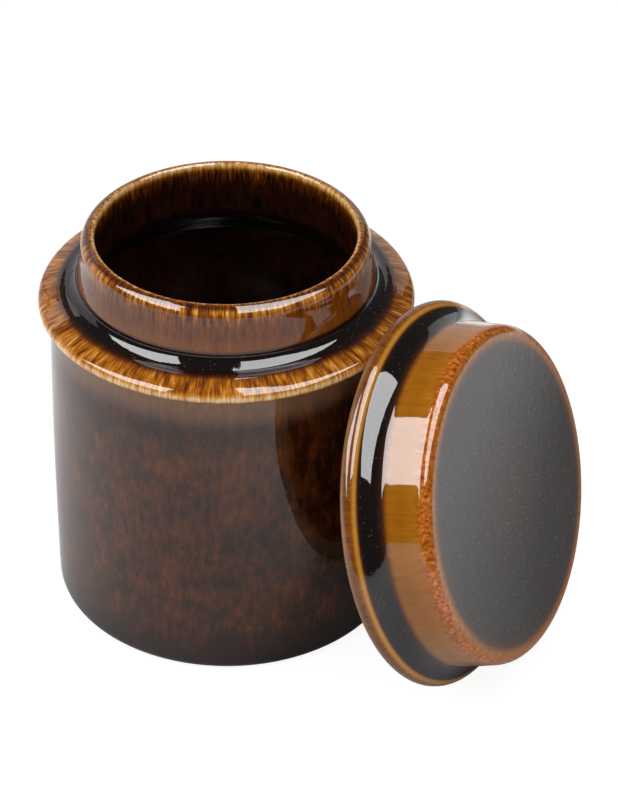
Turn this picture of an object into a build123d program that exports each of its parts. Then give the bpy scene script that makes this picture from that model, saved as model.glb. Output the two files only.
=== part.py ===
import os
from math import cos, radians, sin

from build123d import *

os.makedirs("parts", exist_ok=True)

# Glazed stoneware canister with its cap lid taken off and leaning on it.
# Millimetres. The jar's foot stands on the origin and its axis is Z.

# Jar body, outside
body_top_radius = 58.3
body_middle_swell = 1.3
body_foot_swell = 1.6
foot_round = 2.8
foot_ring_width = 6.5
base_recess = 2.0
recess_round = 1.5

# Jar body, inside
body_wall = 6.0
floor_thickness = 8.0
floor_round = 9.0

# Flanged shoulder that the lid sits on
flange_overhang = 4.2
shoulder_drop = 5.55
flange_round = 1.6
flange_fillet = 2.2
seat_height = 118.65
shoulder_wall = 7.0

# Groove between the shoulder and the neck, where the glaze pools
cove_round = 4.0
cove_land = 0.6
bead_step = 1.9
flare_rise = 6.3

# Neck
neck_inset = 10.65
neck_height = 19.15
rim_wall = 4.6
rim_outer_round = 3.2
rim_inner_round = 1.3

# Cap lid, measured up from its seat
lid_overhang = 1.5
lid_edge_round = 2.9
lid_ridge_angle = 58.0
lid_cove_height = 12.5
lid_top_wall = 5.75
lid_top_round = 3.7
lid_crown = 0.6
collar_wall = 5.9
collar_draft = 1.2
bead_clearance = 1.6
neck_headroom = 3.0
cavity_round = 4.0
seat_lip = 0.4
mouth_rise = 2.0

# How the lid leans: its axis rises from level by the lean angle
lean_angle = 17.9
lean_direction = -28.6
lean_side_shift = 3.1
lean_gap = 0.3
lean_gap_fine = 0.005

# Sizes that follow from the ones above
body_middle_radius = body_top_radius + body_middle_swell
body_foot_radius = body_top_radius + body_foot_swell
flange_radius = body_top_radius + flange_overhang
flange_edge_height = seat_height - shoulder_drop
flange_underside = flange_edge_height - flange_round
body_middle_height = (foot_round + flange_underside) / 2
neck_radius = body_top_radius - neck_inset
rim_height = seat_height + neck_height
bore_radius = neck_radius - rim_wall
bead_radius = neck_radius + bead_step
bead_height = seat_height + cove_round
cove_radius = bead_radius + cove_round
crest_radius = cove_radius + cove_land
inner_shoulder_low = flange_underside - shoulder_wall
inner_shoulder_middle = (inner_shoulder_low + seat_height) / 2

lid_radius = flange_radius + lid_overhang
lid_edge_centre = lid_radius - lid_edge_round
lid_ridge_radius = lid_edge_centre + lid_edge_round * cos(radians(lid_ridge_angle))
lid_ridge_height = lid_edge_round + lid_edge_round * sin(radians(lid_ridge_angle))
cavity_mouth_radius = bead_radius + bead_clearance
cavity_top_radius = cavity_mouth_radius - collar_draft
cavity_depth = neck_height + neck_headroom
lid_height = cavity_depth + lid_top_wall
collar_low_radius = cavity_mouth_radius + collar_wall
collar_top_radius = collar_low_radius - collar_draft
seat_inner_radius = cove_radius - seat_lip

# A quarter round's middle point lies this far from its centre, along both axes
quarter_share = cos(radians(45))


def quarter_middle(centre_x, centre_y, size_x, size_y):
    """Middle point of the quarter round about a centre, towards signed sizes."""
    return (centre_x + size_x * quarter_share, centre_y + size_y * quarter_share)


# Jar: one thrown and fired piece, turned about Z from its wall's section
with BuildPart() as jar:
    with BuildSketch(Plane.XZ) as jar_section:
        with BuildLine():
            # Foot ring and the recess under the base
            ring_outer = (body_foot_radius - foot_round, 0)
            ring_inner_radius = ring_outer[0] - foot_ring_width
            recess_corner = (ring_inner_radius - recess_round, base_recess)
            Line((0, base_recess), recess_corner)
            Bezier(recess_corner, (ring_inner_radius, base_recess), (ring_inner_radius, 0))
            Line((ring_inner_radius, 0), ring_outer)
            ThreePointArc(
                ring_outer,
                quarter_middle(ring_outer[0], foot_round, foot_round, -foot_round),
                (body_foot_radius, foot_round),
            )
            # Body wall, a shade wider in the lower half
            body_top = (body_top_radius, flange_underside - flange_fillet)
            ThreePointArc(
                (body_foot_radius, foot_round),
                (body_middle_radius, body_middle_height),
                body_top,
            )
            # Underside of the flange and its rounded edge
            under_flange = (body_top_radius + flange_fillet, flange_underside)
            flange_low = (flange_radius - flange_round, flange_underside)
            flange_edge = (flange_radius, flange_edge_height)
            ThreePointArc(
                body_top,
                quarter_middle(under_flange[0], body_top[1], -flange_fillet, flange_fillet),
                under_flange,
            )
            Line(under_flange, flange_low)
            ThreePointArc(
                flange_low,
                quarter_middle(flange_low[0], flange_edge_height, flange_round, -flange_round),
                flange_edge,
            )
            # Rounded shoulder up to the crest that carries the lid
            TangentArc((crest_radius, seat_height), flange_edge, tangent=(1, 0))
            Line((crest_radius, seat_height), (cove_radius, seat_height))
            # Pooled groove, bead and the flare into the neck
            ThreePointArc(
                (cove_radius, seat_height),
                quarter_middle(cove_radius, bead_height, -cove_round, -cove_round),
                (bead_radius, bead_height),
            )
            flare_top = (neck_radius, bead_height + flare_rise)
            TangentArc(flare_top, (bead_radius, bead_height), tangent=(0, -1))
            # Neck and rim
            rim_outer = (neck_radius, rim_height - rim_outer_round)
            rim_outer_top = (neck_radius - rim_outer_round, rim_height)
            rim_inner_top = (bore_radius + rim_inner_round, rim_height)
            rim_inner = (bore_radius, rim_height - rim_inner_round)
            Line(flare_top, rim_outer)
            ThreePointArc(
                rim_outer,
                quarter_middle(rim_outer_top[0], rim_outer[1], rim_outer_round, rim_outer_round),
                rim_outer_top,
            )
            Line(rim_outer_top, rim_inner_top)
            ThreePointArc(
                rim_inner_top,
                quarter_middle(rim_inner_top[0], rim_inner[1], -rim_inner_round, rim_inner_round),
                rim_inner,
            )
            # Inside: bore, the wall opening out under the shoulder, wall and floor
            inner_top_radius = body_top_radius - body_wall
            inner_foot_radius = body_foot_radius - body_wall
            inner_foot_height = floor_thickness + floor_round
            Line(rim_inner, (bore_radius, seat_height))
            Bezier(
                (bore_radius, seat_height),
                (bore_radius, inner_shoulder_middle),
                (inner_top_radius, inner_shoulder_middle),
                (inner_top_radius, inner_shoulder_low),
            )
            ThreePointArc(
                (inner_top_radius, inner_shoulder_low),
                (body_middle_radius - body_wall, body_middle_height),
                (inner_foot_radius, inner_foot_height),
            )
            floor_corner = (inner_foot_radius - floor_round, floor_thickness)
            ThreePointArc(
                (inner_foot_radius, inner_foot_height),
                quarter_middle(floor_corner[0], inner_foot_height, floor_round, -floor_round),
                floor_corner,
            )
            Line(floor_corner, (0, floor_thickness))
            Line((0, floor_thickness), (0, base_recess))
        make_face()
    revolve(axis=Axis.Z)
jar.part.label = "jar"

# The leaning lid's own frame, a lid's width clear of the jar at first.
# Its lowest edge stands level with the jar's foot.
lean_cos = cos(radians(lean_angle))
lean_sin = sin(radians(lean_angle))
lean_outward = Vector(1, 0, 0).rotate(Axis.Z, lean_direction)
lean_sideways = Vector(0, 1, 0).rotate(Axis.Z, lean_direction)
lid_axis = lean_outward * lean_cos + Vector(0, 0, lean_sin)
lid_centre_height = lid_edge_centre * lean_cos + lid_edge_round * (1 - lean_sin)
lid_centre = lean_outward * (flange_radius + lid_radius) - lean_sideways * lean_side_shift
lid_centre = lid_centre + Vector(0, 0, lid_centre_height)
lid_plane = Plane(origin=lid_centre, x_dir=lean_sideways, z_dir=lean_sideways.cross(lid_axis))

# Lid: a hollow cap with a wide flange, a deep cove and a drafted collar
with BuildPart() as lid:
    with BuildSketch(lid_plane) as lid_section:
        with BuildLine():
            # Seat, rounded edge and ridge
            seat_outer = (lid_edge_centre, 0)
            lid_ridge = (lid_ridge_radius, lid_ridge_height)
            lid_edge = (lid_radius, lid_edge_round)
            Line((seat_inner_radius, 0), seat_outer)
            ThreePointArc(seat_outer, quarter_middle(
                lid_edge_centre, lid_edge_round, lid_edge_round, -lid_edge_round), lid_edge)
            TangentArc(lid_edge, lid_ridge, tangent=(0, 1))
            # Cove, collar and top
            cove_top = (collar_low_radius, lid_cove_height)
            collar_top = (collar_top_radius, lid_height - lid_top_round)
            top_rim = (collar_top_radius - lid_top_round, lid_height)
            TangentArc(cove_top, lid_ridge, tangent=(0, -1))
            Line(cove_top, collar_top)
            ThreePointArc(
                collar_top,
                quarter_middle(top_rim[0], collar_top[1], lid_top_round, lid_top_round),
                top_rim,
            )
            TangentArc((0, lid_height + lid_crown), top_rim, tangent=(1, 0))
            # Cavity that drops over the jar's neck
            ceiling_corner = (cavity_top_radius - cavity_round, cavity_depth)
            cavity_top = (cavity_top_radius, cavity_depth - cavity_round)
            mouth_top = (cavity_mouth_radius, mouth_rise)
            Line((0, lid_height + lid_crown), (0, cavity_depth))
            Line((0, cavity_depth), ceiling_corner)
            ThreePointArc(
                ceiling_corner,
                quarter_middle(ceiling_corner[0], cavity_top[1], cavity_round, cavity_round),
                cavity_top,
            )
            Line(cavity_top, mouth_top)
            Line(mouth_top, (seat_inner_radius, 0))
        make_face()
    revolve(axis=Axis(lid_centre, lid_axis))
lid.part.label = "lid"

# The lid slides over the table until it leans on the jar, with only the lean gap between them
slide_left = lid.part.distance_to(jar.part) - lean_gap
while slide_left > lean_gap_fine:
    lid.part.position -= lean_outward * slide_left
    slide_left = lid.part.distance_to(jar.part) - lean_gap

export_step(jar.part, "parts/jar.step")
export_step(lid.part, "parts/lid.step")
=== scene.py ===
import math

import bpy
import numpy as np
from mathutils import Matrix, Vector


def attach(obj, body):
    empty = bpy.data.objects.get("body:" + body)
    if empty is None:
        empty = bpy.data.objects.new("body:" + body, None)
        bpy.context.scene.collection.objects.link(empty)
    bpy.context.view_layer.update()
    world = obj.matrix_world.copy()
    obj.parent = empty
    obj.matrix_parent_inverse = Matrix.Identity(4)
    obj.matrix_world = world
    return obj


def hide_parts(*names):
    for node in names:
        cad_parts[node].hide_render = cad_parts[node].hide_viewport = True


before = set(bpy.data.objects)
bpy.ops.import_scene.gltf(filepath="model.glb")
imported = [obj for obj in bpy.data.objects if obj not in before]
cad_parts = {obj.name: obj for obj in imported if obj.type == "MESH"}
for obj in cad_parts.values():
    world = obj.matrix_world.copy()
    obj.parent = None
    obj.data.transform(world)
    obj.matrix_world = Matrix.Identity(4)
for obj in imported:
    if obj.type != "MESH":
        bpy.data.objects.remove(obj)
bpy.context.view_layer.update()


# ---- Canister body ----
# The jar is one piece of stoneware, thrown or jiggered, turned, and dipped in an iron-brown glaze.
# The glaze breaks amber and cream where an edge leaves it thin and runs to black where it pools,
# and the foot ring is wiped clean so that the jar does not stick to the kiln shelf.
millimetre = 0.001

# Outside: radii and heights of the real piece, in millimetres
body_foot_radius = 59.9
body_top_radius = 58.8
body_bow = math.radians(0.9)
foot_round = 3.2
dark_foot_height = 4.0
foot_ring_radius = 50.6
base_recess = 2.0
recess_round = 1.5
flange_radius = 62.5
flange_edge_height = 113.1
flange_round = 1.6
flange_fillet = 1.7
flange_land = 0.3
shoulder_turn = (60.78, 116.05)
shoulder_top = (56.2, 117.5)
crest = (54.3, 117.95)
bead_radius = 49.55
bead_low = 121.2
bead_high = 122.5
flare_middle = (48.14, 129.5)
neck_radius = 47.65
flare_high = 133.9
rim_height = 137.8
rim_inner_round = 1.3
bore_radius = 43.05

# Inside
inner_shoulder_high = 118.65
inner_shoulder_low = 104.5
inner_top_radius = 52.3
inner_foot_radius = 53.9
inner_bow = math.radians(1.13)
floor_height = 8.0
floor_round = 9.0

coat_names = ("glaze", "streak", "mottle", "fleck", "milk", "bare", "satin", "dust")


def coat(glaze, **rest):
    """A coat of glaze: its thickness, from 0 on a sharp edge to 1 in a deep pool, and its looks."""
    return (glaze, *(rest.get(label, 0.0) for label in coat_names[1:]))


black_pool = coat(1.0, dust=0.5)
deep_brown = coat(0.86, streak=0.3, mottle=0.3, dust=0.4)
dark_band = coat(0.79, streak=0.2, mottle=0.6)
wall_brown = coat(0.73, streak=0.2, mottle=1.0)
milky_brown = coat(0.66, streak=0.25, mottle=0.8, milk=0.45)
milky_tan = coat(0.46, streak=0.4, mottle=0.4, milk=0.75)
cream_break = coat(0.04, streak=0.75)
gold = coat(0.18, streak=0.8)
streaked_amber = coat(0.38, streak=1.0)
amber = coat(0.44, streak=0.8)
burnt_amber = coat(0.52, streak=0.7)
smooth_amber = coat(0.48, streak=0.15)
neck_brown = coat(0.59, streak=0.3)
neck_streaks = coat(0.53, streak=1.0)
red_brown = coat(0.70, streak=0.6)
torn_amber = coat(0.36, streak=1.4)
inside_streaks = coat(0.70, streak=1.0, satin=0.1)
inside_brown = coat(0.90, streak=0.15, mottle=0.8, satin=0.4)
inside_pool = coat(1.0, satin=0.4)
glazed_edge = coat(0.9)
bare_clay = coat(0.9, bare=1.0)

# How an outline is drawn, softened as by glaze, and thinned: lengths in millimetres, and the
# shade as a step in a coat
outline_step = 0.15
fewest_steps = 3
least_bow = 1e-6
arris_softness = 0.28
coat_softness = 0.4
bell_reach = 3
widest_turn = math.radians(5)
longest_facet = 4.0
finest_shade = 0.06


def draw_to(outline, radius, height, *coats, leaving=None, arriving=None, bow=0.0):
    """Carry an outline on, straight or along one arc, through coats of glaze.

    A coat is given alone for the end of the run, or with the share of the run that it lies at.
    """
    start = np.array(outline[-1])
    end = np.array((radius, height))
    shares = [0.0]
    shades = [start[2:]]
    for given in coats:
        share, shade = given if len(given) == 2 else (1.0, given)
        shares.append(share)
        shades.append(np.array(shade))
    chord = math.atan2(end[1] - start[1], end[0] - start[0])
    half_turn = bow
    if leaving is not None:
        half_turn = chord - math.atan2(leaving[1], leaving[0])
    if arriving is not None:
        half_turn = math.atan2(arriving[1], arriving[0]) - chord
    half_turn = (half_turn + math.pi) % math.tau - math.pi
    length = math.hypot(*(end - start[:2]))
    steps = max(fewest_steps, math.ceil(length / outline_step))
    for share in np.linspace(0, 1, steps + 1)[1:]:
        place = start[:2] + (end - start[:2]) * share
        if abs(half_turn) > least_bow:
            reach = length * math.sin(half_turn * share) / math.sin(half_turn)
            heading = chord - half_turn + half_turn * share
            place = start[:2] + reach * np.array((math.cos(heading), math.sin(heading)))
        laid = [np.interp(share, shares, column) for column in np.array(shades).T]
        outline.append((*place, *laid))


def glazed_outline(outline):
    """Soften an outline as glaze does, and thin it to the points that its curves need."""
    corners = np.array(outline)
    lengths = np.hypot(*np.diff(corners[:, :2], axis=0).T)
    along = np.concatenate(((0,), np.cumsum(lengths)))
    even = np.linspace(0, along[-1], math.ceil(along[-1] / outline_step) + 1)
    rows = np.stack([np.interp(even, along, column) for column in corners.T], axis=1)

    # Every column is averaged under a bell curve, and turned over past its ends to hold them
    softened = rows.copy()
    for column in range(rows.shape[1]):
        softness = arris_softness if column < 2 else coat_softness
        reach = math.ceil(bell_reach * softness / outline_step)
        weights = np.exp(-0.5 * (np.arange(-reach, reach + 1) * outline_step / softness) ** 2)
        padded = np.concatenate((
            2 * rows[0, column] - rows[reach:0:-1, column],
            rows[:, column],
            2 * rows[-1, column] - rows[-2:-reach - 2:-1, column],
        ))
        softened[:, column] = np.convolve(padded, weights / weights.sum(), mode="valid")
    softened[(0, -1), :2] = rows[(0, -1), :2]

    # A point stays where the outline has turned, run on or changed its coat enough since the last
    kept = [0]
    for place in range(1, len(softened) - 1):
        last = softened[kept[-1]]
        before = softened[kept[-1] + 1] - last
        ahead = softened[place + 1] - softened[place]
        turn = math.atan2(ahead[1], ahead[0]) - math.atan2(before[1], before[0])
        turn = abs((turn + math.pi) % math.tau - math.pi)
        facet = math.hypot(*(softened[place] - last)[:2])
        shade = np.abs(softened[place, 2:] - last[2:]).max()
        if turn > widest_turn or facet > longest_facet or shade > finest_shade:
            kept.append(place)
    kept.append(len(softened) - 1)
    return softened[kept], even[kept]


def outline_object(name, outline):
    """Make an outline an edge chain in metres, with its coats as attributes."""
    rows, along = glazed_outline(outline)
    mesh = bpy.data.meshes.new(name)
    points = [(row[0] * millimetre, 0, row[1] * millimetre) for row in rows]
    mesh.from_pydata(points, [(place, place + 1) for place in range(len(points) - 1)], [])
    for label, values in zip(("along", *coat_names), (along * millimetre, *rows.T[2:])):
        layer = mesh.attributes.new(label, "FLOAT", "POINT")
        layer.data.foreach_set("value", values)
    chain = bpy.data.objects.new(name, mesh)
    bpy.context.scene.collection.objects.link(chain)
    return chain


def add_node(tree, kind, inputs=(), **settings):
    """Add a node with its settings, and link or set its inputs by name or number."""
    made = tree.nodes.new(kind)
    for label, value in settings.items():
        setattr(made, label, value)
    for key, value in dict(inputs).items():
        if isinstance(value, bpy.types.NodeSocket):
            tree.links.new(value, made.inputs[key])
        else:
            made.inputs[key].default_value = value
    return made


# Turning: a lift that keeps the first point of a row from being rounded into the row before, the
# reach in metres that closes seams and poles, and how fast the pattern opens from the centre
row_lift = 0.0005
seam_reach = 0.000002
opening_rate = 1.33


def turning_tree():
    """Geometry nodes that turn an outline about its axis, as a potter's wheel does."""
    tree = bpy.data.node_groups.new("turned_on_the_wheel", "GeometryNodeTree")
    sockets = {}
    for label, kind in (
        ("Outline", "NodeSocketGeometry"),
        ("Facets round", "NodeSocketInt"),
        ("Pattern radius", "NodeSocketFloat"),
        ("Waver", "NodeSocketFloat"),
        ("Waver size", "NodeSocketFloat"),
        ("Waver seed", "NodeSocketFloat"),
        ("Foot centre", "NodeSocketVector"),
        ("Lean", "NodeSocketVector"),
        ("Glaze", "NodeSocketMaterial"),
    ):
        socket = tree.interface.new_socket(label, in_out="INPUT", socket_type=kind)
        sockets[label] = socket.identifier
    tree.interface.new_socket("Piece", in_out="OUTPUT", socket_type="NodeSocketGeometry")
    given = add_node(tree, "NodeGroupInput").outputs

    # A sheet of as many rows as the outline has points, and a column more than the facets round
    size = add_node(tree, "GeometryNodeAttributeDomainSize", {0: given["Outline"]})
    columns = add_node(tree, "ShaderNodeMath", {0: given["Facets round"], 1: 1.0}, operation="ADD")
    sheet = add_node(tree, "GeometryNodeMeshGrid", {
        "Vertices X": size.outputs["Point Count"], "Vertices Y": columns.outputs[0]})
    index = add_node(tree, "GeometryNodeInputIndex")
    row_exact = add_node(
        tree, "ShaderNodeMath", {0: index.outputs[0], 1: columns.outputs[0]}, operation="DIVIDE")
    row_lifted = add_node(
        tree, "ShaderNodeMath", {0: row_exact.outputs[0], 1: row_lift}, operation="ADD")
    row = add_node(tree, "ShaderNodeMath", {0: row_lifted.outputs[0]}, operation="FLOOR")
    row_start = add_node(
        tree, "ShaderNodeMath", {0: row.outputs[0], 1: columns.outputs[0]}, operation="MULTIPLY")
    column = add_node(
        tree, "ShaderNodeMath", {0: index.outputs[0], 1: row_start.outputs[0]},
        operation="SUBTRACT")
    share = add_node(
        tree, "ShaderNodeMath", {0: column.outputs[0], 1: given["Facets round"]},
        operation="DIVIDE")
    angle = add_node(
        tree, "ShaderNodeMath", {0: share.outputs[0], 1: math.tau}, operation="MULTIPLY")
    cosine = add_node(tree, "ShaderNodeMath", {0: angle.outputs[0]}, operation="COSINE")
    sine = add_node(tree, "ShaderNodeMath", {0: angle.outputs[0]}, operation="SINE")
    round_way = add_node(
        tree, "ShaderNodeCombineXYZ", {"X": cosine.outputs[0], "Y": sine.outputs[0]})

    # The outline's own place, coats and distance along, read row by row
    position = add_node(tree, "GeometryNodeInputPosition")
    place = add_node(
        tree, "GeometryNodeSampleIndex",
        {"Geometry": given["Outline"], "Value": position.outputs[0], "Index": row.outputs[0]},
        data_type="FLOAT_VECTOR", domain="POINT")
    parts = add_node(tree, "ShaderNodeSeparateXYZ", {0: place.outputs["Value"]})
    read = {}
    for label in ("along", *coat_names):
        layer = add_node(
            tree, "GeometryNodeInputNamedAttribute", {"Name": label}, data_type="FLOAT")
        read[label] = add_node(
            tree, "GeometryNodeSampleIndex",
            {"Geometry": given["Outline"], "Value": layer.outputs["Attribute"],
             "Index": row.outputs[0]},
            data_type="FLOAT", domain="POINT").outputs["Value"]

    # Hands leave a faint waver, which dies away at the centre
    rise = add_node(tree, "ShaderNodeCombineXYZ", {"Z": parts.outputs["Z"]})
    reach = add_node(
        tree, "ShaderNodeVectorMath", {0: round_way.outputs[0], "Scale": parts.outputs["X"]},
        operation="SCALE")
    true_place = add_node(
        tree, "ShaderNodeVectorMath", {0: reach.outputs[0], 1: rise.outputs[0]}, operation="ADD")
    waver_place = add_node(
        tree, "ShaderNodeVectorMath", {0: true_place.outputs[0], 1: given["Waver size"]},
        operation="DIVIDE")
    waver = add_node(
        tree, "ShaderNodeTexNoise",
        {"Vector": waver_place.outputs[0], "W": given["Waver seed"], "Scale": 1.0, "Detail": 1.0},
        noise_dimensions="4D")
    centred = add_node(tree, "ShaderNodeMath", {0: waver.outputs[0], 1: 0.5}, operation="SUBTRACT")
    wander = add_node(
        tree, "ShaderNodeMath", {0: centred.outputs[0], 1: given["Waver"]}, operation="MULTIPLY")
    edge = add_node(
        tree, "ShaderNodeMath", {0: parts.outputs["X"], 1: given["Pattern radius"]},
        operation="DIVIDE")
    wander_here = add_node(
        tree, "ShaderNodeMath", {0: wander.outputs[0], 1: edge.outputs[0]}, operation="MULTIPLY")
    wavered = add_node(
        tree, "ShaderNodeMath", {0: parts.outputs["X"], 1: wander_here.outputs[0]}, operation="ADD")
    thrown_reach = add_node(
        tree, "ShaderNodeVectorMath", {0: round_way.outputs[0], "Scale": wavered.outputs[0]},
        operation="SCALE")
    thrown = add_node(
        tree, "ShaderNodeVectorMath", {0: thrown_reach.outputs[0], 1: rise.outputs[0]},
        operation="ADD")
    moved = add_node(
        tree, "GeometryNodeSetPosition",
        {"Geometry": sheet.outputs["Mesh"], "Position": thrown.outputs[0]})

    # The coats, and a place to draw runs by: round the piece and along its outline. The pattern
    # keeps one width on the walls, and narrows to nothing only near the centre of a flat disc.
    opening = add_node(
        tree, "ShaderNodeMath", {0: edge.outputs[0], 1: opening_rate}, operation="MULTIPLY",
        use_clamp=True)
    pattern_radius = add_node(
        tree, "ShaderNodeMath", {0: opening.outputs[0], 1: given["Pattern radius"]},
        operation="MULTIPLY")
    wrap = add_node(
        tree, "ShaderNodeVectorMath", {0: round_way.outputs[0], "Scale": pattern_radius.outputs[0]},
        operation="SCALE")
    run = add_node(tree, "ShaderNodeCombineXYZ", {"Z": read["along"]})
    wrapped = add_node(
        tree, "ShaderNodeVectorMath", {0: wrap.outputs[0], 1: run.outputs[0]}, operation="ADD")
    stored = add_node(
        tree, "GeometryNodeStoreNamedAttribute",
        {"Geometry": moved.outputs[0], "Name": "turned", "Value": wrapped.outputs[0]},
        data_type="FLOAT_VECTOR", domain="POINT")
    for label in coat_names:
        stored = add_node(
            tree, "GeometryNodeStoreNamedAttribute",
            {"Geometry": stored.outputs[0], "Name": label, "Value": read[label]},
            data_type="FLOAT", domain="POINT")

    # The sheet closes along its seam and at the centres, faces outward, and is set in its place
    closed = add_node(
        tree, "GeometryNodeMergeByDistance",
        {"Geometry": stored.outputs[0], "Distance": seam_reach})
    outward = add_node(tree, "GeometryNodeFlipFaces", {"Mesh": closed.outputs[0]})
    smooth = add_node(tree, "GeometryNodeSetShadeSmooth", {"Geometry": outward.outputs[0]})
    placed = add_node(tree, "GeometryNodeTransform", {
        "Geometry": smooth.outputs[0], "Translation": given["Foot centre"],
        "Rotation": given["Lean"]})
    real = add_node(tree, "GeometryNodeRealizeInstances", {0: placed.outputs[0]})
    glazed = add_node(
        tree, "GeometryNodeSetMaterial", {"Geometry": real.outputs[0], "Material": given["Glaze"]})
    add_node(tree, "NodeGroupOutput", {0: glazed.outputs[0]})
    return tree, sockets


def turn_piece(name, outline, tree, sockets, values):
    """Turn an outline into a finished piece with a plain mesh of its own."""
    chain = outline_object(name + "_outline", outline)
    wheel = chain.modifiers.new("wheel", "NODES")
    wheel.node_group = tree
    for label, value in values.items():
        wheel[sockets[label]] = value
    bpy.context.view_layer.update()
    ready = chain.evaluated_get(bpy.context.evaluated_depsgraph_get())
    mesh = bpy.data.meshes.new_from_object(ready)
    mesh.name = name
    piece = bpy.data.objects.new(name, mesh)
    bpy.context.scene.collection.objects.link(piece)
    chain.modifiers.remove(wheel)
    bpy.data.objects.remove(chain)
    return piece


def colour(code):
    """Linear colour of an sRGB hex code."""
    parts = [int(code[place:place + 2], 16) / 255 for place in (1, 3, 5)]
    linear = [
        part / 12.92 if part <= 0.04045 else ((part + 0.055) / 1.055) ** 2.4 for part in parts]
    return (*linear, 1.0)


# How much of its thickness each pattern moves, in a coat that has the pattern in full
streak_strength = 1.25
tear_share = 0.65
mottle_strength = 0.5
cloud_share = 0.9

# Rust flecks from dark to light, how sharply they tear apart, and how much of the glaze milk and
# a speck of dust hide
fleck_colours = ((0.32, "#541803"), (0.45, "#a2470c"), (0.56, "#bb6a20"), (0.70, "#d99c48"))
fleck_tear = 6.0
milk_cover = 0.75
dust_cover = 0.34

# Where a wiped edge goes from glaze to clay, the clay's grit and the spacing of dust in
# millimetres, and a speck's reach as a share of that spacing
wipe_start, wipe_end = 0.4, 0.6
grit_size = 0.4
dust_spacing = 1.5625
speck_reach = 0.115

# The surface: fired glass is nearly a mirror and clay is matt, and its ripples are in millimetres
glass_ior = 1.52
glass_roughness = 0.04
clay_roughness = 0.85
satin_share = 0.35
ripple_height = 0.04
peel_height = 0.005


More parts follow.
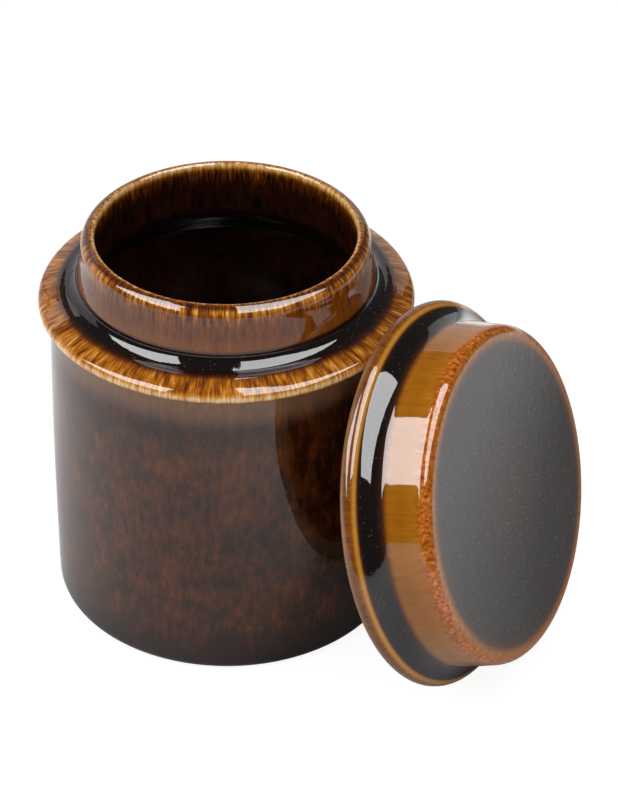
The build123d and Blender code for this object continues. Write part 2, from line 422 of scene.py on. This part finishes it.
def iron_glaze(name, breaks):
    """Glossy iron-brown stoneware glaze over buff clay.

    It is a dipped, fired glass: clear and wet-looking, amber where thin, brown where even and
    black where deep, with fine runs down the wall and rusty flecks round the lid's top. Breaks
    are its colours by thickness.
    """
    material = bpy.data.materials.new(name)
    material.use_nodes = True
    tree = material.node_tree
    tree.nodes.clear()
    laid = {
        label: add_node(tree, "ShaderNodeAttribute", attribute_name=label).outputs["Fac"]
        for label in coat_names}
    turned = add_node(tree, "ShaderNodeAttribute", attribute_name="turned").outputs["Vector"]

    # Patterns by their millimetres across and down the wall, detail and roughness. Runs and tears
    # streak the thin glaze, mottle and clouds break up the walls, flecks are rust round the
    # lid's top, and ripple and peel make the reflections waver.
    pattern = {}
    for label, across, down, detail, roughness in (
        ("runs", 1.9, 11.0, 4.0, 0.62),
        ("tears", 0.6, 4.0, 2.0, 0.5),
        ("mottle", 2.6, 5.5, 4.0, 0.68),
        ("clouds", 9.0, 9.0, 2.0, 0.55),
        ("flecks", 1.3, 1.5, 4.0, 0.65),
        ("ripple", 3.2, 9.0, 1.0, 0.4),
        ("peel", 2.4, 2.4, 1.5, 0.5),
    ):
        scale_across, scale_down = 1 / (across * millimetre), 1 / (down * millimetre)
        place = add_node(tree, "ShaderNodeMapping", {
            "Vector": turned, "Scale": (scale_across, scale_across, scale_down)})
        pattern[label] = add_node(tree, "ShaderNodeTexNoise", {
            "Vector": place.outputs[0], "Scale": 1.0, "Detail": detail, "Roughness": roughness,
        }).outputs[0]

    # How far each pattern is from its middle, and how strong it is in the coat here
    offset = {
        label: add_node(
            tree, "ShaderNodeMath", {0: pattern[label], 1: 0.5}, operation="SUBTRACT").outputs[0]
        for label in ("runs", "tears", "mottle", "clouds")}
    strength = {
        label: add_node(
            tree, "ShaderNodeMath", {0: laid[label], 1: full}, operation="MULTIPLY").outputs[0]
        for label, full in (
            ("streak", streak_strength), ("mottle", mottle_strength), ("milk", milk_cover))}

    # Runs and tears are as strong as the coat is streaked, and mottle and clouds lie on the walls
    both = add_node(
        tree, "ShaderNodeMath", {0: offset["tears"], 1: tear_share, 2: offset["runs"]},
        operation="MULTIPLY_ADD")
    streaks = add_node(
        tree, "ShaderNodeMath", {0: both.outputs[0], 1: strength["streak"], 2: laid["glaze"]},
        operation="MULTIPLY_ADD")
    patches = add_node(
        tree, "ShaderNodeMath", {0: offset["clouds"], 1: cloud_share, 2: offset["mottle"]},
        operation="MULTIPLY_ADD")
    thickness = add_node(
        tree, "ShaderNodeMath",
        {0: patches.outputs[0], 1: strength["mottle"], 2: streaks.outputs[0]},
        operation="MULTIPLY_ADD")

    # Thin glaze is cream and amber, and deep glaze black. Flecks lie over it where it is torn.
    ramps = {}
    for label, factor, stops in (
        ("glaze", thickness.outputs[0], breaks), ("flecks", pattern["flecks"], fleck_colours)):
        ramp = add_node(tree, "ShaderNodeValToRGB", {0: factor})
        for _ in stops[2:]:
            ramp.color_ramp.elements.new(0.5)
        for stop, (depth, code) in zip(ramp.color_ramp.elements, stops):
            stop.position = depth
            stop.color = colour(code)
        ramps[label] = ramp.outputs[0]
    torn = add_node(
        tree, "ShaderNodeMath", {0: offset["mottle"], 1: fleck_tear, 2: 1.0},
        operation="MULTIPLY_ADD", use_clamp=True)
    fleck_share = add_node(
        tree, "ShaderNodeMath", {0: laid["fleck"], 1: torn.outputs[0]}, operation="MULTIPLY")
    flecked = add_node(
        tree, "ShaderNodeMix",
        {"Factor": fleck_share.outputs[0], "A": ramps["glaze"], "B": ramps["flecks"]},
        data_type="RGBA")

    # A pale pinkish grey mixed into the glaze colour below the flange and on outer edges
    milky = add_node(
        tree, "ShaderNodeMix",
        {"Factor": strength["milk"], "A": flecked.outputs["Result"], "B": colour("#846a55")},
        data_type="RGBA")

    # Bare buff stoneware, speckled with its grit, where the glaze was wiped off
    grit = add_node(tree, "ShaderNodeTexNoise", {
        "Vector": turned, "Scale": 1 / (grit_size * millimetre), "Detail": 3.0})
    clay = add_node(
        tree, "ShaderNodeMix",
        {"Factor": grit.outputs[0], "A": colour("#9c7f62"), "B": colour("#cbb596")},
        data_type="RGBA")
    bareness = add_node(
        tree, "ShaderNodeMapRange",
        {"Value": laid["bare"], "From Min": wipe_start, "From Max": wipe_end})
    surface = add_node(
        tree, "ShaderNodeMix",
        {"Factor": bareness.outputs[0], "A": milky.outputs["Result"], "B": clay.outputs["Result"]},
        data_type="RGBA")

    # Dust on tops and in grooves: faint pale specks up to 0.36 mm across, some millimetres apart
    here = add_node(tree, "ShaderNodeTexCoord").outputs["Object"]
    dust = add_node(tree, "ShaderNodeTexVoronoi", {
        "Vector": here, "Scale": 1 / (dust_spacing * millimetre)})
    speck = add_node(
        tree, "ShaderNodeMath", {0: dust.outputs["Distance"], 1: speck_reach},
        operation="LESS_THAN")
    speck_share = add_node(
        tree, "ShaderNodeMath", {0: speck.outputs[0], 1: laid["dust"]}, operation="MULTIPLY")
    speck_look = add_node(
        tree, "ShaderNodeMath", {0: speck_share.outputs[0], 1: dust_cover}, operation="MULTIPLY")
    dusted = add_node(
        tree, "ShaderNodeMix",
        {"Factor": speck_look.outputs[0], "A": surface.outputs["Result"], "B": colour("#c9c2b8")},
        data_type="RGBA")

    # Glass shines, the glaze inside is a little satin, and clay is matt
    duller = add_node(
        tree, "ShaderNodeMath", {0: laid["satin"], 1: satin_share, 2: bareness.outputs[0]},
        operation="MULTIPLY_ADD", use_clamp=True)
    roughness = add_node(
        tree, "ShaderNodeMapRange",
        {"Value": duller.outputs[0], "To Min": glass_roughness, "To Max": clay_roughness})

    # A fired glaze is never quite flat: long ripples of some microns and a fine orange peel
    ripple = add_node(tree, "ShaderNodeBump", {
        "Height": pattern["ripple"], "Strength": 1.0, "Distance": ripple_height * millimetre})
    peel = add_node(tree, "ShaderNodeBump", {
        "Height": pattern["peel"], "Strength": 1.0, "Distance": peel_height * millimetre,
        "Normal": ripple.outputs[0]})
    shader = add_node(tree, "ShaderNodeBsdfPrincipled", {
        "Base Color": dusted.outputs["Result"],
        "Roughness": roughness.outputs[0],
        "Normal": peel.outputs[0],
        "IOR": glass_ior,
    })
    add_node(tree, "ShaderNodeOutputMaterial", {"Surface": shader.outputs[0]})
    return material


body_top = (body_top_radius, flange_edge_height - flange_round - flange_fillet)
jar_outline = [(0, base_recess, *wall_brown)]
draw_to(jar_outline, foot_ring_radius - recess_round, base_recess, (0.97, wall_brown), glazed_edge)
draw_to(
    jar_outline, foot_ring_radius, 0, (0.3, glazed_edge), (0.4, bare_clay), bare_clay,
    leaving=(1, 0))
draw_to(jar_outline, body_foot_radius - foot_round, 0, bare_clay)
draw_to(
    jar_outline, body_foot_radius, foot_round, (0.1, bare_clay), (0.15, glazed_edge), glazed_edge,
    leaving=(1, 0))
# The glaze darkens from about 18 mm up the wall down to the foot: painted shade near the floor
draw_to(
    jar_outline, body_foot_radius, foot_round + dark_foot_height, (0.5, glazed_edge), deep_brown)
draw_to(
    jar_outline, *body_top, (0.11, wall_brown), (0.80, wall_brown), (0.85, dark_band),
    (0.90, dark_band), (0.95, milky_brown), milky_tan, bow=body_bow)
draw_to(
    jar_outline, body_top_radius + flange_fillet, flange_edge_height - flange_round, milky_tan,
    leaving=(0, 1))
draw_to(
    jar_outline, flange_radius, flange_edge_height, (0.4, milky_tan), cream_break, leaving=(1, 0))
draw_to(jar_outline, flange_radius, flange_edge_height + flange_land, cream_break)
draw_to(
    jar_outline, *shoulder_turn, (0.15, cream_break), (0.4, gold), (0.65, streaked_amber),
    streaked_amber, leaving=(0, 1))
draw_to(jar_outline, *shoulder_top, (0.4, streaked_amber), (0.85, amber), burnt_amber)
draw_to(jar_outline, *crest, (0.5, dark_band), deep_brown, arriving=(-1, 0))
draw_to(
    jar_outline, bead_radius, bead_low, (0.2, black_pool), black_pool, leaving=(-1, 0))
draw_to(jar_outline, bead_radius, bead_high, (0.4, black_pool), deep_brown)
draw_to(
    jar_outline, *flare_middle, (0.1, smooth_amber), (0.3, smooth_amber), (0.6, neck_brown),
    neck_brown)
draw_to(jar_outline, neck_radius, flare_high, (0.1, neck_brown), neck_streaks, arriving=(0, 1))
draw_to(
    jar_outline, bore_radius + rim_inner_round, rim_height, (0.2, amber), (0.42, torn_amber),
    (0.55, torn_amber), (0.68, red_brown), (0.88, red_brown), torn_amber, leaving=(0, 1))
draw_to(
    jar_outline, bore_radius, rim_height - rim_inner_round, (0.6, cream_break), cream_break,
    leaving=(-1, 0))
draw_to(
    jar_outline, bore_radius, inner_shoulder_high, (0.03, gold), (0.07, burnt_amber),
    (0.16, inside_streaks), (0.42, inside_brown), (0.9, inside_brown), inside_pool)
inner_middle = (
    (bore_radius + inner_top_radius) / 2, (inner_shoulder_high + inner_shoulder_low) / 2)
draw_to(jar_outline, *inner_middle, inside_pool, leaving=(0, -1))
draw_to(jar_outline, inner_top_radius, inner_shoulder_low, inside_brown, arriving=(0, -1))
draw_to(jar_outline, inner_foot_radius, floor_height + floor_round, inside_brown, bow=-inner_bow)
draw_to(jar_outline, inner_foot_radius - floor_round, floor_height, inside_brown, leaving=(0, -1))
draw_to(jar_outline, 0, floor_height, inside_brown)

canister_glaze = iron_glaze(
    "brown_canister_glaze",
    breaks=(
        (0.00, "#dcbf92"), (0.14, "#c78b3c"), (0.34, "#a4600f"), (0.50, "#743c04"),
        (0.66, "#4e2408"), (0.82, "#2b1106"), (1.00, "#0d0605")))

# The same wheel turns both pieces, in metres: patterns keep their width from a radius of 45 mm
# out, and walls waver by up to 0.04 mm over 30 mm
wheel_setting = {"Facets round": 288, "Pattern radius": 0.06, "Waver": 0.00008, "Waver size": 0.03}
wheel_tree, wheel_sockets = turning_tree()
canister = turn_piece(
    "canister_body", jar_outline, wheel_tree, wheel_sockets,
    {**wheel_setting, "Waver seed": 3.0, "Glaze": canister_glaze})
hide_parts("jar")
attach(canister, "jar")


# ---- Cap lid ----
# The lid is a second stoneware piece, hollow so that it drops over the neck, with a flange that
# seats on the jar's shoulder. It is glazed like the jar, with a black pool in its cove, and the
# seat ring underneath is left bare because the lid is fired on it.
lid_radius = 64.0
lid_edge_round = 2.9
lid_ridge = (62.64, 5.36)
lid_cove = (57.05, 12.5)
lid_cove_bow = math.radians(-22)
collar_top = (55.81, 24.6)
lid_height = 27.9
lid_top_round = 3.35
lid_crown = 0.6
seat_inner_radius = 53.15
cavity_mouth = (51.15, 2.0)
cavity_top_radius = 49.95
cavity_depth = 22.15
cavity_round = 4.0

milky_edge = coat(0.42, streak=0.2, milk=0.75)
brown_edge = coat(0.58, streak=0.25, milk=0.2)
speckled_edge = coat(0.60, streak=0.25, fleck=0.25)
gold_ridge = coat(0.08, streak=0.12)
cove_pool = coat(1.0, dust=0.5)
cove_edge = coat(0.84)
cove_brown = coat(0.68, streak=0.08)
ochre = coat(0.40, streak=0.12)
dark_ochre = coat(0.46, streak=0.12)
rust = coat(0.42, fleck=1.0)
soft_rust = coat(0.42, streak=0.3, fleck=0.45)
smooth_ochre = coat(0.46, streak=0.1)
smooth_brown = coat(0.66, streak=0.05)
top_pool = coat(0.96, dust=1.0)
top_middle = coat(0.83, streak=0.1, mottle=0.2, dust=1.0)

lid_outline = [(0, cavity_depth, *wall_brown)]
draw_to(lid_outline, cavity_top_radius - cavity_round, cavity_depth, deep_brown)
draw_to(lid_outline, cavity_top_radius, cavity_depth - cavity_round, deep_brown, leaving=(1, 0))
draw_to(lid_outline, *cavity_mouth, (0.8, wall_brown), burnt_amber)
draw_to(lid_outline, seat_inner_radius, 0, (0.5, burnt_amber), (0.65, bare_clay), bare_clay)
draw_to(lid_outline, lid_radius - lid_edge_round, 0, (0.95, bare_clay), milky_edge)
draw_to(
    lid_outline, lid_radius, lid_edge_round, (0.3, milky_edge), (0.7, milky_edge), brown_edge,
    leaving=(1, 0))
draw_to(
    lid_outline, *lid_ridge, (0.35, speckled_edge), (0.6, speckled_edge), (0.75, ochre), gold_ridge,
    leaving=(0, 1))
draw_to(
    lid_outline, *lid_cove, (0.05, gold_ridge), (0.15, cove_edge), (0.22, cove_pool),
    (0.78, cove_pool), (0.9, cove_edge), cove_brown, bow=lid_cove_bow)
collar_way = (collar_top[0] - lid_cove[0], collar_top[1] - lid_cove[1])
draw_to(
    lid_outline, *collar_top, (0.08, smooth_amber), (0.2, ochre), (0.3, ochre), (0.6, dark_ochre),
    (0.75, ochre), (0.86, ochre), (0.95, soft_rust), soft_rust)
draw_to(
    lid_outline, collar_top[0] - lid_top_round, lid_height, (0.3, rust), (0.6, rust), soft_rust,
    leaving=collar_way)
draw_to(
    lid_outline, 0, lid_height + lid_crown, (0.02, smooth_ochre), (0.05, smooth_brown),
    (0.10, top_pool), (0.55, top_pool), (0.9, top_middle), top_middle, arriving=(-1, 0))

# It stands on its edge: the centre of its seat in metres, how far its axis rises from level and
# the way that it heads, in degrees
lid_centre = (0.068685, -0.040979, 0.060151)
axis_rise = 17.9
axis_heading = -28.6
lid_lean = (0, math.radians(90 - axis_rise), math.radians(axis_heading))
lid_glaze = iron_glaze(
    "brown_lid_glaze",
    breaks=(
        (0.00, "#d8b070"), (0.14, "#bd8a38"), (0.40, "#9a5d06"), (0.50, "#7c4603"),
        (0.66, "#45200b"), (0.82, "#2b1106"), (1.00, "#0d0605")))
lid = turn_piece(
    "canister_lid", lid_outline, wheel_tree, wheel_sockets,
    {**wheel_setting, "Waver seed": 8.0, "Foot centre": lid_centre, "Lean": lid_lean,
     "Glaze": lid_glaze})
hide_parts("lid")
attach(lid, "lid")


# ---- Table and studio ----
# White paper lies under the canister. Two soft boxes, left and right of the camera, give the
# window-like reflections in the glaze, and low white screens behind give its pale sheen. Boxes and
# screens are only seen in the glaze, and lamps at a plain level give the light of the two boxes.

# The paper's edges in metres, its white to the camera, and the grey on it that takes a shadow
paper_front, paper_back, paper_side = -0.75, 1.3, 1.8
paper_glow = 0.92
shadow_grey = (0.18, 0.18, 0.18, 1)
plain_white = (1, 1, 1, 1)

# A painted shadow where the jar and lid shade the paper from the left soft box: an oval, in metres
shade_centre = (0.22, 0.14, 0)
shade_reach = (0.45, 0.155, 1)
shade_turn = math.radians(45)


def white_stage(name, seen_white):
    """Matt white paper that shows pure white to the camera and keeps a soft shadow.

    In the glaze it has a painted shadow on the side that the jar shades from the left soft box,
    and a painted glow further out.
    """
    material = bpy.data.materials.new(name)
    material.use_nodes = True
    tree = material.node_tree
    tree.nodes.clear()
    path = add_node(tree, "ShaderNodeLightPath")
    here = add_node(tree, "ShaderNodeTexCoord").outputs["Object"]
    shaded = add_node(
        tree, "ShaderNodeMapping",
        {"Vector": here, "Location": shade_centre, "Rotation": (0, 0, shade_turn),
         "Scale": shade_reach}, vector_type="TEXTURE")
    away = add_node(tree, "ShaderNodeVectorMath", {0: shaded.outputs[0]}, operation="LENGTH")
    part = add_node(tree, "ShaderNodeSeparateXYZ", {0: shaded.outputs[0]})

    # How bright the paper is by the distance from the oval's middle, 1 at its edge: a painted
    # shadow inside, a painted glow outside, and a brighter painted band round its edge that is
    # left out close to the canister
    level = {}
    for label, place, *limits in (
        ("shadowed_white", away.outputs["Value"], 0.5, 1.0, 0.4, 0.93),
        ("lit", away.outputs["Value"], 1.0, 1.4, 0.0, 0.2),
        ("beside", part.outputs["X"], -0.52, -0.36, 0.0, 1.0),
        ("band_start", away.outputs["Value"], 0.65, 1.15, 0.0, 0.6),
        ("band_end", away.outputs["Value"], 1.5, 2.4, 0.0, 0.6),
    ):
        inputs = dict(zip(("From Min", "From Max", "To Min", "To Max"), limits))
        level[label] = add_node(
            tree, "ShaderNodeMapRange", {"Value": place, **inputs}).outputs[0]
    band = add_node(
        tree, "ShaderNodeMath", {0: level["band_start"], 1: level["band_end"]},
        operation="SUBTRACT")
    lift = add_node(
        tree, "ShaderNodeMath", {0: band.outputs[0], 1: level["beside"], 2: level["lit"]},
        operation="MULTIPLY_ADD")
    # The paper's colour carries the painted shadow, and an emission on it is the painted glow
    paper = add_node(tree, "ShaderNodeBsdfDiffuse", {"Color": level["shadowed_white"]})
    painted_glow = add_node(
        tree, "ShaderNodeEmission", {"Color": plain_white, "Strength": lift.outputs[0]})
    mirrored = add_node(tree, "ShaderNodeAddShader", {0: paper.outputs[0], 1: painted_glow.outputs[0]})
    pale = add_node(tree, "ShaderNodeBsdfDiffuse", {"Color": shadow_grey})
    glow = add_node(tree, "ShaderNodeEmission", {"Color": plain_white, "Strength": seen_white})
    both = add_node(tree, "ShaderNodeAddShader", {0: pale.outputs[0], 1: glow.outputs[0]})
    mixed = add_node(tree, "ShaderNodeMixShader", {
        0: path.outputs["Is Camera Ray"], 1: mirrored.outputs[0], 2: both.outputs[0]})
    add_node(tree, "ShaderNodeOutputMaterial", {"Surface": mixed.outputs[0]})
    return material


paper_mesh = bpy.data.meshes.new("paper")
paper_mesh.from_pydata(
    [(-paper_side, paper_front, 0), (paper_side, paper_front, 0),
     (paper_side, paper_back, 0), (-paper_side, paper_back, 0)], [], [(0, 1, 2, 3)])
paper = bpy.data.objects.new("paper", paper_mesh)
paper_mesh.materials.append(white_stage("white_paper", paper_glow))
bpy.context.scene.collection.objects.link(paper)

# Each box or screen by its distance from the target and the directions of its corners, azimuth
# and elevation in degrees, then how bright it is in the glaze and the watts of its lamp
target = Vector((0.0, -0.04, 0.11))
for label, distance, corners, strength, lamp_strength in (
    ("left_soft_box", 1.05, ((175, 25), (-127, 25), (-145, 67), (155, 68)), 10.9, 10.5),
    ("right_soft_box", 1.05, ((-81, 38.5), (-47, 33), (5, 38.6), (84, 76)), 10.0, 6.5),
    ("white_backdrop", 1.3, ((118, -5), (62, -5), (62, 27), (118, 27)), 0.75, 0.0),
    ("white_side", 1.3, ((165, -5), (119, -5), (119, 26), (165, 26)), 0.75, 0.0),
    ("white_corner", 1.3, ((136, 27), (112, 28), (112, 37), (136, 34)), 1.2, 0.0),
):
    ways = [Vector((
        math.cos(math.radians(elevation)) * math.cos(math.radians(azimuth)),
        math.cos(math.radians(elevation)) * math.sin(math.radians(azimuth)),
        math.sin(math.radians(elevation)))) for azimuth, elevation in corners]
    middle_way = sum(ways, Vector()).normalized()
    points = [target + way * distance / way.dot(middle_way) for way in ways]
    cloth_mesh = bpy.data.meshes.new(label)
    cloth_mesh.from_pydata(points, [], [(0, 1, 2, 3)])
    box = bpy.data.objects.new(label, cloth_mesh)
    bpy.context.scene.collection.objects.link(box)

    # White diffusing cloth, evenly bright all over
    cloth = bpy.data.materials.new(label + "_cloth")
    cloth.use_nodes = True
    cloth.node_tree.nodes.clear()
    glow = add_node(
        cloth.node_tree, "ShaderNodeEmission", {"Color": plain_white, "Strength": strength})
    add_node(cloth.node_tree, "ShaderNodeOutputMaterial", {"Surface": glow.outputs[0]})
    cloth_mesh.materials.append(cloth)
    box.visible_camera = False
    box.visible_diffuse = False
    box.visible_shadow = False
    box.visible_transmission = False
    if not lamp_strength:
        continue

    # Its lamp is as wide and as tall as the cloth, and isn't seen in the glaze
    lamp_data = bpy.data.lights.new(label + "_lamp", "AREA")
    lamp_data.shape = "RECTANGLE"
    lamp_data.size = (points[1] - points[0]).length
    lamp_data.size_y = (points[2] - points[1]).length
    lamp_data.energy = lamp_strength
    lamp = bpy.data.objects.new(label + "_lamp", lamp_data)
    lamp.matrix_world = (
        Matrix.Translation(target + middle_way * distance)
        @ (-middle_way).to_track_quat("-Z", "Y").to_matrix().to_4x4())
    lamp.visible_glossy = False
    lamp.visible_camera = False
    bpy.context.scene.collection.objects.link(lamp)

# The room: white to the camera, dim in the glaze, and a low fill on matt surfaces
room_glow = 0.12
world = bpy.data.worlds.new("studio")
bpy.context.scene.world = world
world.use_nodes = True
world.node_tree.nodes.clear()
path = add_node(world.node_tree, "ShaderNodeLightPath")
room = add_node(
    world.node_tree, "ShaderNodeBackground", {"Color": plain_white, "Strength": room_glow})
white = add_node(world.node_tree, "ShaderNodeBackground", {"Color": plain_white, "Strength": 1.0})
seen = add_node(world.node_tree, "ShaderNodeMixShader", {
    0: path.outputs["Is Camera Ray"], 1: room.outputs[0], 2: white.outputs[0]})
add_node(world.node_tree, "ShaderNodeOutputWorld", {"Surface": seen.outputs[0]})


# ---- Camera ----
# A lens of about 121 mm on a 36 mm sensor looks 35 degrees down on the canister from in front, as
# the product was photographed. The focal length is in pixels of a picture 800 pixels high.
sensor_size = 36.0
focal_length = 2693.15
picture_height = 800
eye = (0, -0.7505, 0.603174)
yaw, pitch, roll = 0.037, 0.618, 0.011
camera_data = bpy.data.cameras.new("camera")
camera_data.sensor_width = sensor_size
camera_data.sensor_fit = "AUTO"
camera_data.lens = sensor_size * focal_length / picture_height
camera_data.clip_start = 0.01
camera = bpy.data.objects.new("camera", camera_data)
ahead = Vector((math.sin(yaw) * math.cos(pitch), math.cos(yaw) * math.cos(pitch), -math.sin(pitch)))
level_right = Vector((math.cos(yaw), -math.sin(yaw), 0))
level_up = level_right.cross(ahead)
right = level_right * math.cos(roll) + level_up * math.sin(roll)
up = level_up * math.cos(roll) - level_right * math.sin(roll)
camera.matrix_world = Matrix.Translation(eye) @ Matrix(
    (right, up, -ahead)).transposed().to_4x4()
bpy.context.scene.collection.objects.link(camera)
bpy.context.scene.camera = camera
bpy.context.scene.view_settings.view_transform = "Standard"
